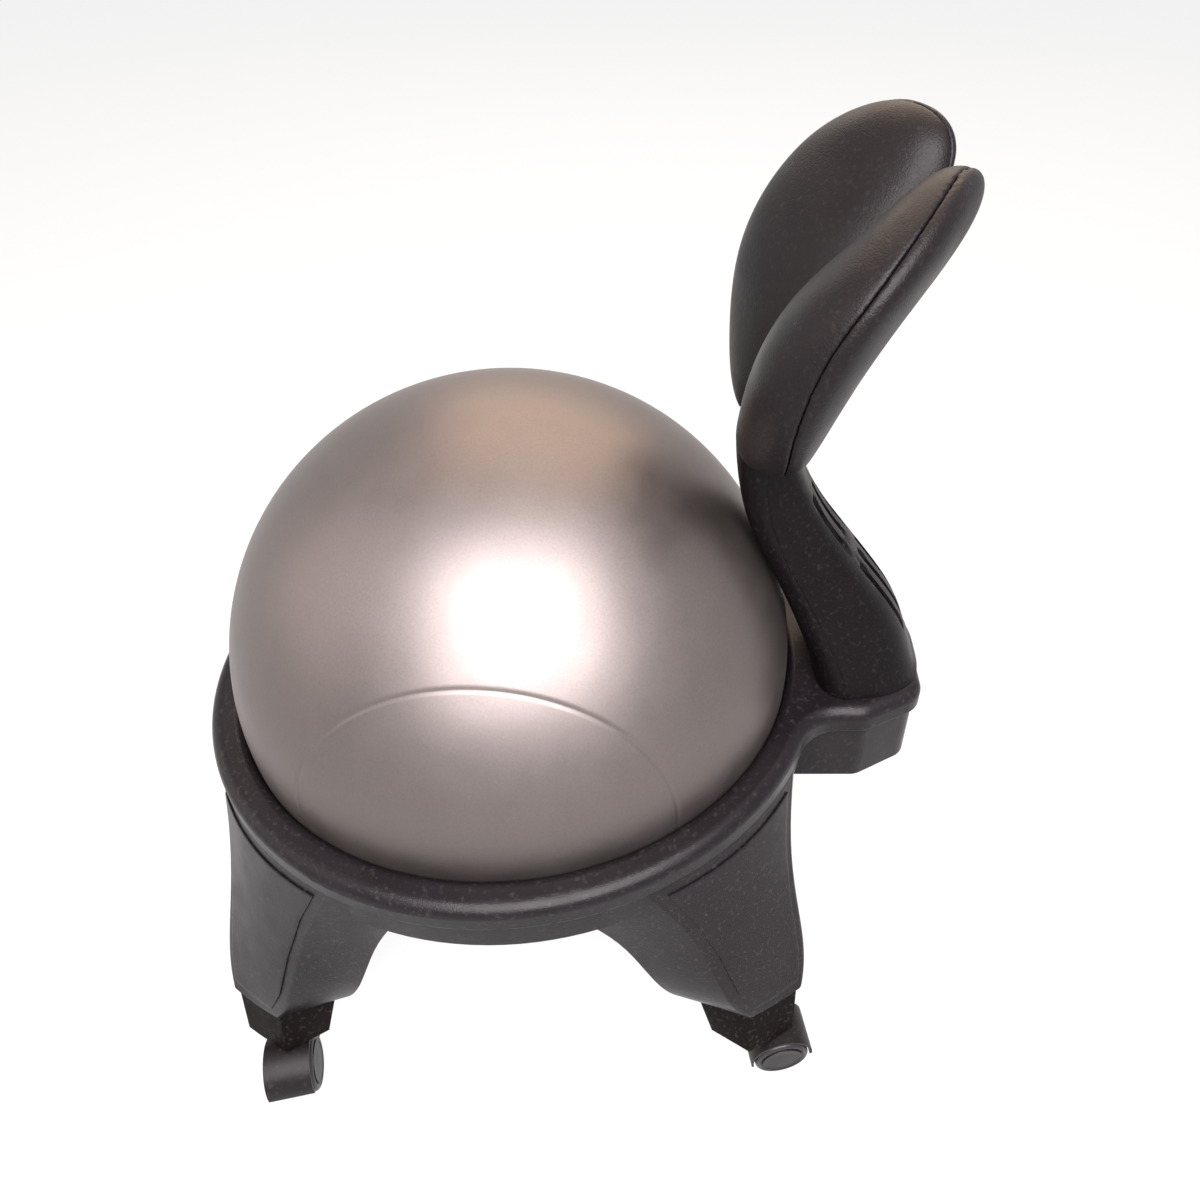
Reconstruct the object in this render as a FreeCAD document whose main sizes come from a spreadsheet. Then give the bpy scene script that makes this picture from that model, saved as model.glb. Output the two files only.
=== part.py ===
"""Balance ball chair: an inflated ball carried in a moulded four-legged base on casters, with a back post
and a two-lobed backrest.

Frame: +Z up, the sitter faces -Y, +X is the side nearer the camera. The origin is on the floor below the
middle of the chair's bounding box. Lengths are millimetres.
"""
import FreeCAD, Part

import math
import os

import Sketcher

from FreeCAD import Placement, Rotation, Vector

os.makedirs("parts", exist_ok=True)
doc = FreeCAD.newDocument("balance_ball_chair")

# Driving sizes
SIZES = {
    # ball
    "ball_radius": 260.0,
    "ball_wall": 1.2,
    "ball_centre": 347.0,
    "seat_clearance": 0.5,
    "plug_radius": 4.0,
    "plug_cap_radius": 9.0,
    "plug_cap_depth": 1.6,
    # rim, skirt and bowl of the base
    "rim_radius": 290.5,
    "rim_top": 338.0,
    "rim_depth": 26.0,
    "rim_round": 12.0,
    "rim_under_round": 2.0,
    "lip_round": 9.0,
    "skirt_inset": 5.0,
    "skirt_drop": 31.0,
    "shell_wall": 6.0,
    "bowl_wall": 5.5,
    "bowl_hole": 200.0,
    "bowl_collar": 12.0,
    "deck_thickness": 7.0,
    "rib_thickness": 4.0,
    # platform behind the ring
    "platform_rear": 387.0,
    "platform_half": 86.0,
    "platform_tail": 57.0,
    "platform_shoulder": 58.0,
    "platform_drop": 70.0,
    "platform_blend": 26.0,
    "ring_blend": 42.0,
    # legs
    "leg_foot": 110.0,
    "leg_splay": 61.5,
    "leg_width": 62.0,
    "leg_depth": 62.0,
    "leg_turn": 14.0,
    "leg_edge_round": 7.0,
    # leg extensions
    "plug_height": 40.0,
    "plug_gap": 0.8,
    "extension_foot": 62.0,
    "extension_inset": 4.0,
    # casters
    "stem_inset": 12.6,
    "stem_aside": 14.1,
    "wheel_radius": 27.0,
    "wheel_width": 17.5,
    "wheel_gap": 5.4,
    "caster_trail": 24.0,
    "axle_radius": 3.0,
    "running_fit": 0.05,
    "hood_gap": 1.8,
    "hood_thickness": 2.4,
    "stem_radius": 5.5,
    "stem_length": 42.0,
    "socket_wall": 2.0,
    "socket_flange": 1.6,
    "head_gap": 0.1,
    # back post
    "post_front": 283.0,
    "post_foot_depth": 103.0,
    "post_foot_width": 134.0,
    "post_neck_width": 72.0,
    "post_neck_depth": 44.0,
    "post_height": 266.0,
    "post_floor": 8.0,
    "slot_width": 9.0,
    "slot_pitch": 20.0,
    "slot_recess": 4.0,
    # fasteners of the post
    "bolt_radius": 4.0,
    "bolt_head_radius": 7.5,
    "bolt_head_height": 5.5,
    "washer_radius": 10.0,
    "washer_thickness": 1.6,
    "bolt_depth": 30.0,
    # neck bar and its clamp
    "neck_tilt": 19.3,
    "bar_width": 50.0,
    "bar_thickness": 10.0,
    "bar_buried": 24.0,
    "bar_exposed": 126.0,
    "bar_clearance": 0.5,
    "stud_radius": 4.0,
    "stud_height": 62.0,
    "height_travel": 50.0,
    "knob_radius": 16.0,
    "knob_height": 13.0,
    "knob_offset": 17.0,
    # backrest
    "pad_bottom": 592.0,
    "pad_height": 224.0,
    "pad_half_width": 134.0,
    "pad_front_share": 0.66,
    "pad_clearance": 2.6,
}

sheet = doc.addObject("Spreadsheet::Sheet", "sizes")
for row, (alias, value) in enumerate(SIZES.items(), start=1):
    sheet.set("A%d" % row, alias.replace("_", " "))
    sheet.set("B%d" % row, repr(value))
    sheet.setAlias("B%d" % row, alias)
doc.recompute()


class Size:
    """A length with both its value and the expression that ties it to the sheet."""

    def __init__(self, value, text):
        self.value = value
        self.text = text

    def _join(self, other, sign, result, swap=False):
        other = other if isinstance(other, Size) else Size(float(other), repr(float(other)))
        first, second = (other, self) if swap else (self, other)
        return Size(result(first.value, second.value), "(%s %s %s)" % (first.text, sign, second.text))

    def __add__(self, other):
        return self._join(other, "+", lambda p, q: p + q)

    def __radd__(self, other):
        return self._join(other, "+", lambda p, q: p + q, swap=True)

    def __sub__(self, other):
        return self._join(other, "-", lambda p, q: p - q)

    def __rsub__(self, other):
        return self._join(other, "-", lambda p, q: p - q, swap=True)

    def __mul__(self, other):
        return self._join(other, "*", lambda p, q: p * q)

    def __rmul__(self, other):
        return self._join(other, "*", lambda p, q: p * q, swap=True)

    def __truediv__(self, other):
        return self._join(other, "/", lambda p, q: p / q)

    def __neg__(self):
        return Size(-self.value, "(0 - %s)" % self.text)

    def __float__(self):
        return self.value


def root(size):
    """Square root of a size."""
    return Size(math.sqrt(size.value), "sqrt(%s)" % size.text)


S = {alias: Size(float(sheet.get(alias)), "sizes." + alias) for alias in SIZES}
V = {alias: float(size) for alias, size in S.items()}

# The ring's axis lies in front of the middle of the bounding box
RING_SHIFT = (S["rim_radius"] - S["platform_rear"]) / 2

# Reach of a foot from the ring's axis, and the place of the caster stem under it
LEG_REACH = S["rim_radius"] + S["leg_splay"]
STEM_X = (LEG_REACH - S["stem_inset"] + S["stem_aside"]) / root(Size(2.0, "2"))
STEM_Y = (LEG_REACH - S["stem_inset"] - S["stem_aside"]) / root(Size(2.0, "2"))


# Sketch and feature helpers
def free_body(name):
    body = doc.addObject("PartDesign::Body", name)
    body.Label = name
    return body


def new_body(name):
    """A body whose own origin is the ring's axis on the floor."""
    body = free_body(name)
    body.setExpression("Placement.Base.y", RING_SHIFT.text)
    return body


def plane_of(body, role):
    return [item for item in body.Origin.OriginFeatures if item.Role == role][0]


def new_sketch(body, role="XY_Plane", lift=None, turn=None):
    """A sketch on one of the body's own planes, lifted along the plane's normal."""
    sketch = body.newObject("Sketcher::SketchObject", body.Name + "_sketch")
    sketch.AttachmentSupport = [(plane_of(body, role), "")]
    sketch.MapMode = "FlatFace"
    if turn is not None:
        sketch.AttachmentOffset = turn
    if lift is not None:
        sketch.setExpression("AttachmentOffset.Base.z", lift.text)
    return sketch


def pin_point(sketch, item, end, x_size, y_size):
    """Ties one end of a sketch edge to its two coordinates."""
    for kind, size in (("DistanceX", x_size), ("DistanceY", y_size)):
        value = float(size)
        if not isinstance(size, Size) and abs(value) < 1e-9:
            sketch.addConstraint(Sketcher.Constraint("PointOnObject", item, end, -2 if kind == "DistanceX" else -1))
            continue
        index = sketch.addConstraint(Sketcher.Constraint(kind, -1, 1, item, end, value))
        if isinstance(size, Size):
            sketch.setExpression("Constraints[%d]" % index, size.text)


def outline(sketch, corners):
    """A closed outline. Each corner is (x, y) or (x, y, radius, side) for an arc that leads to it."""
    points = [Vector(float(corner[0]), float(corner[1]), 0) for corner in corners]
    ends = []
    for index, corner in enumerate(corners):
        begin, end = points[index - 1], points[index]
        if len(corner) == 2:
            item = sketch.addGeometry(Part.LineSegment(begin, end), False)
            ends.append((item, 1, 2))
            continue
        radius, side = float(corner[2]), corner[3]
        chord = end - begin
        half = chord.Length / 2
        sagitta = radius - math.sqrt(radius * radius - half * half)
        across = Vector(-chord.y, chord.x, 0).normalize()
        middle = (begin + end) / 2 + across * sagitta * side
        item = sketch.addGeometry(Part.Arc(begin, middle, end), False)
        forward = (sketch.getPoint(item, 1) - begin).Length < 1e-6
        ends.append((item, 1, 2) if forward else (item, 2, 1))
    for index, (item, first, last) in enumerate(ends):
        before = ends[index - 1]
        sketch.addConstraint(Sketcher.Constraint("Coincident", before[0], before[2], item, first))
    for (item, first, last), corner in zip(ends, corners):
        pin_point(sketch, item, last, corner[0], corner[1])
        if len(corner) == 4:
            index = sketch.addConstraint(Sketcher.Constraint("Radius", item, float(corner[2])))
            if isinstance(corner[2], Size):
                sketch.setExpression("Constraints[%d]" % index, corner[2].text)
    return sketch


def circle(sketch, radius, x_size=0.0, y_size=0.0):
    item = sketch.addGeometry(Part.Circle(Vector(float(x_size), float(y_size), 0), Vector(0, 0, 1), float(radius)))
    index = sketch.addConstraint(Sketcher.Constraint("Radius", item, float(radius)))
    if isinstance(radius, Size):
        sketch.setExpression("Constraints[%d]" % index, radius.text)
    pin_point(sketch, item, 3, x_size, y_size)
    return sketch


def pad(body, sketch, length, reverse=False, kind="Pad"):
    feature = body.newObject("PartDesign::" + kind, body.Name + "_" + kind.lower())
    feature.Profile = sketch
    feature.Reversed = reverse
    feature.setExpression("Length", length.text if isinstance(length, Size) else repr(float(length)))
    return feature


def pocket(body, sketch, length, reverse=False):
    return pad(body, sketch, length, reverse, kind="Pocket")


def revolve(body, sketch, kind="Revolution", axis="V_Axis", angle=360.0):
    feature = body.newObject("PartDesign::" + kind, body.Name + "_" + kind.lower())
    feature.Profile = sketch
    feature.ReferenceAxis = (sketch, [axis])
    feature.Angle = angle
    return feature


def loft(body, sketches, kind="AdditiveLoft", ruled=False):
    feature = body.newObject("PartDesign::" + kind, body.Name + "_loft")
    feature.Profile = sketches[0]
    feature.Sections = sketches[1:]
    feature.Ruled = ruled
    return feature


def polar(body, originals, count, role="Z_Axis"):
    feature = body.newObject("PartDesign::PolarPattern", body.Name + "_polar")
    feature.Originals = originals
    feature.Axis = (plane_of(body, role), [""])
    feature.Angle = 360.0
    feature.Occurrences = count
    body.Tip = feature
    return feature


def in_row(body, originals, role, length, count):
    feature = body.newObject("PartDesign::LinearPattern", body.Name + "_row")
    feature.Originals = originals
    feature.Direction = (plane_of(body, role), [""])
    feature.setExpression("Length", length.text)
    feature.Occurrences = count
    body.Tip = feature
    return feature


def round_edges(body, test, radius):
    """Rounds every edge of the body's last feature that passes the test."""
    doc.recompute()
    base = body.Tip
    names = ["Edge%d" % (number + 1) for number, edge in enumerate(base.Shape.Edges) if test(edge)]
    feature = body.newObject("PartDesign::Fillet", body.Name + "_round")
    feature.Base = (base, names)
    feature.setExpression("Radius", radius.text)
    return feature


def boolean(kind, name, base, tool):
    feature = doc.addObject("Part::" + kind, name)
    feature.Label = name
    if kind in ("Cut",):
        feature.Base = base
        feature.Tool = tool
    else:
        feature.Shapes = [base] + list(tool)
    feature.Refine = True
    return feature


def mirrored(name, source, normal):
    feature = doc.addObject("Part::Mirroring", name)
    feature.Source = source
    feature.Normal = normal
    return feature


def spans(edge, axis):
    """How far an edge reaches along one axis."""
    box = edge.BoundBox
    return {"x": box.XLength, "y": box.YLength, "z": box.ZLength}[axis]


# Ball room: the space the ball needs inside the base, with the rounded mouth of the bowl
SEAT_RADIUS = S["ball_radius"] + S["seat_clearance"]


def sphere_reach(radius, height):
    """Radius of a sphere about the ball's centre, cut at a height."""
    gap = height - S["ball_centre"]
    return root(radius * radius - gap * gap)


def build_ball_room():
    body = new_body("ball_room")
    mouth = S["rim_top"] - S["lip_round"]
    neck = sphere_reach(SEAT_RADIUS, mouth)
    outline(new_sketch(body, "XZ_Plane"), [
        (0.0, S["ball_centre"] - SEAT_RADIUS),
        (neck, mouth, SEAT_RADIUS, -1),
        (neck + S["lip_round"], S["rim_top"], S["lip_round"], 1),
        (neck + S["lip_round"], S["rim_top"] + 4),
        (0.0, S["rim_top"] + 4),
    ])
    revolve(body, body.Group[-1])
    return body


# Base ring: rolled rim, skirt, bowl and the platform that carries the post
def platform_outline(sketch, inset, forward):
    """Plan of the platform: parallel sides that narrow to a blunt tail."""
    half = S["platform_half"] - inset
    tail = S["platform_tail"] - inset
    rear = S["platform_rear"] - inset
    shoulder = S["platform_rear"] - S["platform_shoulder"]
    return outline(sketch, [
        (half, forward),
        (half, shoulder),
        (tail, rear),
        (-tail, rear),
        (-half, shoulder),
        (-half, forward),
    ])


def build_ring():
    body = new_body("ring")
    rim_floor = S["rim_top"] - S["rim_depth"]
    skirt_radius = S["rim_radius"] - S["skirt_inset"]
    skirt_floor = rim_floor - S["skirt_drop"]
    inside = S["rim_radius"] * 0.6

    # drafted-looking wall of the platform, deeper than the skirt
    pad(body, platform_outline(new_sketch(body, lift=rim_floor + S["rim_under_round"]), S["skirt_inset"], inside),
        S["platform_drop"] + S["rim_under_round"], reverse=True)

    def is_wall_corner(edge):
        box = edge.BoundBox
        return box.ZLength > V["platform_drop"] * 0.9 and box.YMin > V["rim_radius"]

    round_edges(body, is_wall_corner, S["platform_blend"] - S["skirt_inset"])

    # skirt below the rim
    pad(body, circle(new_sketch(body, lift=rim_floor + S["rim_under_round"]), skirt_radius),
        S["skirt_drop"] + S["rim_under_round"], reverse=True)

    # rolled rim and the platform's top, one plate with every outer edge rounded
    pad(body, circle(new_sketch(body, lift=rim_floor), S["rim_radius"]), S["rim_depth"])
    pad(body, platform_outline(new_sketch(body, lift=rim_floor), 0.0, inside), S["rim_depth"])

    def is_upright(edge, low, high):
        box = edge.BoundBox
        upright = box.XLength + box.YLength < 1e-3 and abs(box.ZMax - V["rim_top"]) < 1e-3
        return upright and low < box.YMin < high

    ring_corner = V["rim_radius"]
    round_edges(body, lambda edge: is_upright(edge, ring_corner, 1000), S["platform_blend"])
    round_edges(body, lambda edge: is_upright(edge, 0, ring_corner), S["ring_blend"])

    def is_rim_edge(height):
        def test(edge):
            box = edge.BoundBox
            reach = max(math.hypot(vertex.X, vertex.Y) for vertex in edge.Vertexes)
            return box.ZLength < 1e-4 and abs(box.ZMin - height) < 1e-3 and reach > V["rim_radius"] - 1
        return test

    round_edges(body, is_rim_edge(V["rim_top"]), S["rim_round"])
    round_edges(body, is_rim_edge(float(rim_floor)), S["rim_under_round"])

    # hollow of the platform, open below, with bosses left for the four post bolts
    platform_floor = rim_floor - S["platform_drop"]
    hollow = new_sketch(body, lift=platform_floor - 1)
    wall = S["skirt_inset"] + S["shell_wall"] + 4
    platform_outline(hollow, wall, S["rim_radius"] + 3)
    pocket(body, hollow, S["platform_drop"] + S["rim_depth"] - S["deck_thickness"] + 1, reverse=True)

    # hollow between skirt and bowl
    bowl_outer = SEAT_RADIUS + S["bowl_wall"]
    cavity_top = S["rim_top"] - S["deck_thickness"]
    outline(new_sketch(body, "XZ_Plane"), [
        (skirt_radius - S["shell_wall"], skirt_floor - 30),
        (skirt_radius - S["shell_wall"], cavity_top),
        (sphere_reach(bowl_outer, cavity_top), cavity_top),
        (sphere_reach(bowl_outer, skirt_floor - 30), skirt_floor - 30, bowl_outer, 1),
    ])
    revolve(body, body.Group[-1], "Groove")

    # bowl below the skirt: a spherical wall down to a collared hole
    collar = S["bowl_hole"] + S["shell_wall"]
    collar_floor = S["ball_centre"] - root(SEAT_RADIUS * SEAT_RADIUS - S["bowl_hole"] * S["bowl_hole"]) - \
        S["bowl_collar"]
    outline(new_sketch(body, "XZ_Plane"), [
        (S["bowl_hole"], collar_floor),
        (collar, collar_floor),
        (collar, S["ball_centre"] - root(bowl_outer * bowl_outer - collar * collar)),
        (sphere_reach(bowl_outer, rim_floor), rim_floor, bowl_outer, -1),
        (sphere_reach(SEAT_RADIUS, rim_floor), rim_floor),
        (S["bowl_hole"], collar_floor + S["bowl_collar"], SEAT_RADIUS, 1),
    ])
    revolve(body, body.Group[-1])

    # ribs that tie the bowl to the skirt
    rib = new_sketch(body, lift=skirt_floor + 3)
    inner = sphere_reach(SEAT_RADIUS + 1, skirt_floor + 3)
    outline(rib, [
        (inner, S["rib_thickness"] / 2),
        (inner, -S["rib_thickness"] / 2),
        (skirt_radius - 2, -S["rib_thickness"] / 2),
        (skirt_radius - 2, S["rib_thickness"] / 2),
    ])
    polar(body, [pad(body, rib, cavity_top - skirt_floor - 2)], 24)

    # bosses and clearance holes for the post bolts
    bosses = []
    for sx, sy in bolt_places():
        circle(new_sketch(body, lift=cavity_top + 1), S["bolt_radius"] * 2.6, sx, sy)
        bosses.append(pad(body, body.Group[-1], S["rim_depth"], reverse=True))
        body.Tip = bosses[-1]
    for sx, sy in bolt_places():
        circle(new_sketch(body, lift=S["rim_top"] + 1), S["bolt_radius"] + 0.5, sx, sy)
        pocket(body, body.Group[-1], S["rim_depth"] * 2 + 10)
    return body


def bolt_places():
    """Centres of the four bolts that hold the post down."""
    front = S["post_front"] + S["post_foot_depth"] * 0.34
    rear = S["post_front"] + S["post_foot_depth"] * 0.76
    wide = S["post_foot_width"] * 0.26
    near = S["post_foot_width"] * 0.2
    return [(wide, front), (-wide, front), (near, rear), (-near, rear)]


def bolt_seat():
    """Height of the boss faces that the washers press on."""
    return S["rim_top"] - S["deck_thickness"] + 1 - S["rim_depth"]


# Legs
LEG_LEVELS = [
    # height share, reach of the outer corners, half width outside, turn share, depth share, half width inside, bow
    (0.00, 0.0, 0.50, 1.00, 1.00, 0.89, 1.0),
    (0.20, -15.4, 0.75, 0.53, 0.92, 1.32, 3.0),
    (0.47, -36.7, 0.88, 0.30, 0.81, 1.60, 6.0),
    (0.74, -58.0, 1.11, 0.11, 0.70, 1.95, 10.0),
    (1.00, -78.0, 1.47, 0.00, 0.60, 2.42, 15.0),
]


def leg_section(level, skin):
    """Corners of one horizontal leg section, inset by a wall: outer pair, inner pair, and bow.

    The first axis points outwards and the second away from the side of the chair.
    """
    share, reach, half, turn, depth, back_half, bow = level
    outer = float(LEG_REACH) + reach - skin
    inner = float(LEG_REACH) + reach - V["leg_depth"] * depth + skin
    half = V["leg_width"] * half - skin
    back = V["leg_width"] * back_half - skin * 1.25
    angle = math.radians(V["leg_turn"] * turn)
    swing = Vector(-math.sin(angle), -math.cos(angle), 0) * half
    return [Vector(outer, 0, 0) + swing, Vector(outer, 0, 0) - swing, Vector(inner, back, 0),
            Vector(inner, -back, 0), bow]


def leg_height(share):
    top = V["rim_top"] - V["rim_depth"]
    return V["leg_foot"] + (top - V["leg_foot"]) * share


def corner_round(before, corner, after, radius):
    """Start, middle and end of an arc that rounds a corner."""
    back = (before - corner).normalize()
    forth = (after - corner).normalize()
    half = back.getAngle(forth) / 2
    reach = radius / math.tan(half)
    centre = corner + (back + forth).normalize() * (radius / math.sin(half))
    return corner + back * reach, centre + (corner - centre).normalize() * radius, corner + forth * reach


def quad_sketch(body, height, corners, radius=0.0):
    """A four-sided section with a bowed outer side, drawn along the leg's own 45 degree direction."""
    first, second, third, fourth, bow = corners
    sketch = new_sketch(body, turn=Placement(Vector(0, 0, height), Rotation(Vector(0, 0, 1), 45)))
    begin, end = first, second
    lead = out = None
    if radius:
        lead = corner_round(fourth, first, second, radius)
        out = corner_round(first, second, third, radius)
        begin, end = lead[2], out[0]
    outward = Vector(second.y - first.y, first.x - second.x, 0).normalize()
    sketch.addGeometry(Part.Arc(begin, (begin + end) / 2 + outward * bow, end))
    if radius:
        sketch.addGeometry(Part.Arc(*out))
    sketch.addGeometry(Part.LineSegment(out[2] if out else second, third))
    sketch.addGeometry(Part.LineSegment(third, fourth))
    sketch.addGeometry(Part.LineSegment(fourth, lead[0] if lead else first))
    if radius:
        sketch.addGeometry(Part.Arc(*lead))
    return sketch


def build_leg():
    """One hollow leg: a bell-topped box that splays outwards and narrows to the foot."""
    body = new_body("leg")
    edge = V["leg_edge_round"]
    loft(body, [quad_sketch(body, leg_height(level[0]), leg_section(level, 0.0), edge) for level in LEG_LEVELS])
    wall = V["shell_wall"]
    hollow = []
    for level in LEG_LEVELS[:-1]:
        height = leg_height(level[0]) - (2.0 if level[0] == 0 else 0.0)
        hollow.append(quad_sketch(body, height, leg_section(level, wall)))
    loft(body, hollow, "SubtractiveLoft")
    return body


def build_base_shell():
    ring = build_ring()
    leg = build_leg()
    ball_room = build_ball_room()
    across = mirrored("leg_across", leg, Vector(1, 0, 0))
    forward = doc.addObject("Part::Mirroring", "leg_forward")
    forward.Source = leg
    forward.Normal = Vector(0, 1, 0)
    forward.setExpression("Base.y", RING_SHIFT.text)
    both = doc.addObject("Part::Mirroring", "leg_both")
    both.Source = forward
    both.Normal = Vector(1, 0, 0)
    joined = boolean("MultiFuse", "ring_with_legs", ring, [leg, across, forward, both])
    return boolean("Cut", "base_shell", joined, ball_room)


# Leg extensions, one below each leg
def extension_section(height, reach, offset, half, turn, depth, back_half):
    """Corners of one extension section, offset sideways along the leg's tangent."""
    angle = math.radians(turn)
    swing = Vector(-math.sin(angle), -math.cos(angle), 0) * half
    outer = Vector(reach, -offset, 0)
    return height, [outer + swing, outer - swing, Vector(reach - depth, back_half - offset, 0),
                    Vector(reach - depth, -back_half - offset, 0), 0.6]


def build_extension(name):
    body = new_body(name)
    inset = V["extension_inset"]
    reach, half = float(LEG_REACH), V["leg_width"] / 2
    depth = V["leg_depth"]
    levels = [
        extension_section(V["extension_foot"], reach + 7, 13, half - 6, 16, depth - 15, half + 3),
        extension_section(V["leg_foot"], reach - inset, 1, half - inset, V["leg_turn"], depth - 2 * inset, half + 17),
    ]
    loft(body, [quad_sketch(body, height, corners) for height, corners in levels], ruled=True)
    wall = V["shell_wall"] + V["plug_gap"]
    opening = leg_section(LEG_LEVELS[0], wall)
    tip = [Vector(corner.x * 0.2 + (reach - depth * 0.62) * 0.8, corner.y * 0.86, 0) for corner in opening[:4]]
    tip = [Vector((corner.x + opening[index].x) / 2 - 6, corner.y, 0) for index, corner in enumerate(tip)] + [0.4]
    loft(body, [quad_sketch(body, V["leg_foot"] - 0.01, opening),
                quad_sketch(body, V["leg_foot"] + V["plug_height"], tip)], ruled=True)
    bore = circle(new_sketch(body, lift=S["extension_foot"] - 1), S["stem_radius"] + S["running_fit"] +
                  S["socket_wall"], STEM_X, STEM_Y)
    pocket(body, bore, S["stem_length"] - 6, reverse=True)
    return body


CORNERS = {"fr": (1, -1), "rr": (1, 1), "fl": (-1, -1), "rl": (-1, 1)}
TRAILS = {"fr": 12.0, "rr": 101.0, "fl": 168.0, "rl": 79.0}


def place_corner(name, master, side, end):
    """A leg piece at its own corner, mirrored from the piece at the rear right."""
    feature = doc.addObject("Part::Feature", name)
    feature.Label = name
    shape = master.Shape.copy()
    if side < 0:
        shape = shape.mirror(Vector(0, 0, 0), Vector(1, 0, 0))
    if end < 0:
        shape = shape.mirror(Vector(0, float(RING_SHIFT), 0), Vector(0, 1, 0))
    feature.Shape = shape
    return feature


# Casters, drawn about the stem's axis with the wheels trailing along +X
def caster_place(corner):
    side, end = CORNERS[corner]
    return Placement(Vector(float(STEM_X) * side, float(RING_SHIFT) + float(STEM_Y) * end, 0),
                     Rotation(Vector(0, 0, 1), TRAILS[corner]))


def placed(body, corner):
    body.Placement = caster_place(corner)
    return body


def head_top():
    """Height of the caster head, just below the socket's flange."""
    return S["extension_foot"] - S["socket_flange"] - S["head_gap"]


def build_socket(name):
    """Sleeve pressed into the extension, with a flange that the caster's head runs under."""
    body = free_body(name)
    bore = S["stem_radius"] + S["running_fit"]
    outer = bore + S["socket_wall"]
    floor = S["extension_foot"] - S["socket_flange"]
    top = S["extension_foot"] + S["stem_length"] - 8
    outline(new_sketch(body, "XZ_Plane"), [
        (bore, floor),
        (outer + 3.5, floor),
        (outer + 3.5, S["extension_foot"]),
        (outer - 0.02, S["extension_foot"]),
        (outer - 0.02, top),
        (bore, top),
    ])
    revolve(body, body.Group[-1])
    return body


def build_stem(name):
    """Steel stem with a grip ring's groove and a rounded tip."""
    body = free_body(name)
    radius = S["stem_radius"]
    foot = head_top() - 14
    top = foot + S["stem_length"]
    outline(new_sketch(body, "XZ_Plane"), [
        (0.0, foot),
        (radius, foot),
        (radius, top - 9),
        (radius - 1, top - 8),
        (radius - 1, top - 6),
        (radius, top - 5),
        (radius, top - 3),
        (radius - 3, top, 3.0, -1),
        (0.0, top),
    ])
    revolve(body, body.Group[-1])
    return body


def build_housing(name):
    """Twin-wheel caster housing: a web between the wheels, a round head and a hood over them."""
    body = free_body(name)
    trail, radius = S["caster_trail"], S["wheel_radius"]
    web = S["wheel_gap"] - 1
    hood_inner = radius + S["hood_gap"]
    hood_outer = hood_inner + S["hood_thickness"]
    half = S["wheel_gap"] + S["wheel_width"] - 1.5
    disc = circle(new_sketch(body, "XZ_Plane"), hood_outer, trail, radius)
    plate = pad(body, disc, web * 2)
    plate.Midplane = True
    circle(new_sketch(body, "XY_Plane", lift=radius), S["stem_radius"] * 2.0)
    pad(body, body.Group[-1], head_top() - radius)
    band = circle(new_sketch(body, "XZ_Plane"), hood_outer, trail, radius)
    hood = pad(body, band, half * 2)
    hood.Midplane = True
    inner = circle(new_sketch(body, "XZ_Plane", lift=web), hood_inner, trail, radius)
    pocket(body, inner, 60, reverse=True)
    inner = circle(new_sketch(body, "XZ_Plane", lift=-web), hood_inner, trail, radius)
    pocket(body, inner, 60)

    # the hood and the web end above the axle on the open side, clear of the floor
    open_side = new_sketch(body, "XZ_Plane")
    low = radius * 0.62
    outline(open_side, [
        (trail - radius * 1.6, -radius),
        (trail + radius * 1.6, -radius),
        (trail + radius * 1.6, radius * 1.25),
        (trail + radius * 0.55, low),
        (trail - radius * 0.55, low),
        (trail - radius * 1.6, radius * 0.9),
    ])
    cut = pocket(body, open_side, 80)
    cut.Midplane = True
    axle = circle(new_sketch(body, "XZ_Plane"), S["axle_radius"] + 0.02, trail, radius)
    cut = pocket(body, axle, 40)
    cut.Midplane = True
    bore = circle(new_sketch(body, "XY_Plane", lift=head_top() + 1), S["stem_radius"] + 0.02)
    pocket(body, bore, Size(15.0, "15"))
    return body


def build_axle(name):
    body = free_body(name)
    sketch = circle(new_sketch(body, "XZ_Plane"), S["axle_radius"], S["caster_trail"], S["wheel_radius"])
    rod = pad(body, sketch, (S["wheel_gap"] + S["wheel_width"] - 2) * 2)
    rod.Midplane = True
    return body


def build_wheel(name, side):
    """One wheel: a crowned tread, a dished hub face and a blind bore for the axle."""
    body = free_body(name)
    near = S["wheel_gap"]
    far = near + S["wheel_width"]
    radius = S["wheel_radius"]
    bore = S["axle_radius"] + S["running_fit"]
    outline(new_sketch(body, "YZ_Plane"), [
        (near * side, bore),
        (near * side, radius - 3),
        ((near + 3) * side, radius, 3.0, side),
        ((far - 4) * side, radius),
        (far * side, radius - 4, 4.0, side),
        ((far - 1.2) * side, radius - 6),
        ((far - 0.2) * side, radius * 0.3),
        ((far - 0.2) * side, 0.0),
        ((far - 1.6) * side, 0.0),
        ((far - 1.6) * side, bore),
    ])
    revolve(body, body.Group[-1], axis="H_Axis")
    return body


def wheel_place(corner):
    """The wheel bodies turn about their own X direction in the sketch, so they sit on the axle's line."""
    move = Placement(Vector(V["caster_trail"], 0, V["wheel_radius"]), Rotation())
    return caster_place(corner).multiply(move)


# Back post
POST_LEVELS = [
    # height share, front offset, depth share of foot, width share of foot
    (0.00, 0.0, 1.00, 1.00),
    (0.09, -6.0, 0.95, 0.95),
    (0.24, -21.0, 0.93, 0.86),
    (0.40, -40.0, 0.83, 0.77),
    (0.55, -59.0, 0.73, 0.70),
    (0.69, -73.0, 0.63, 0.64),
    (0.82, -79.5, 0.53, 0.59),
    (0.91, -80.0, 0.46, 0.56),
]


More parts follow.
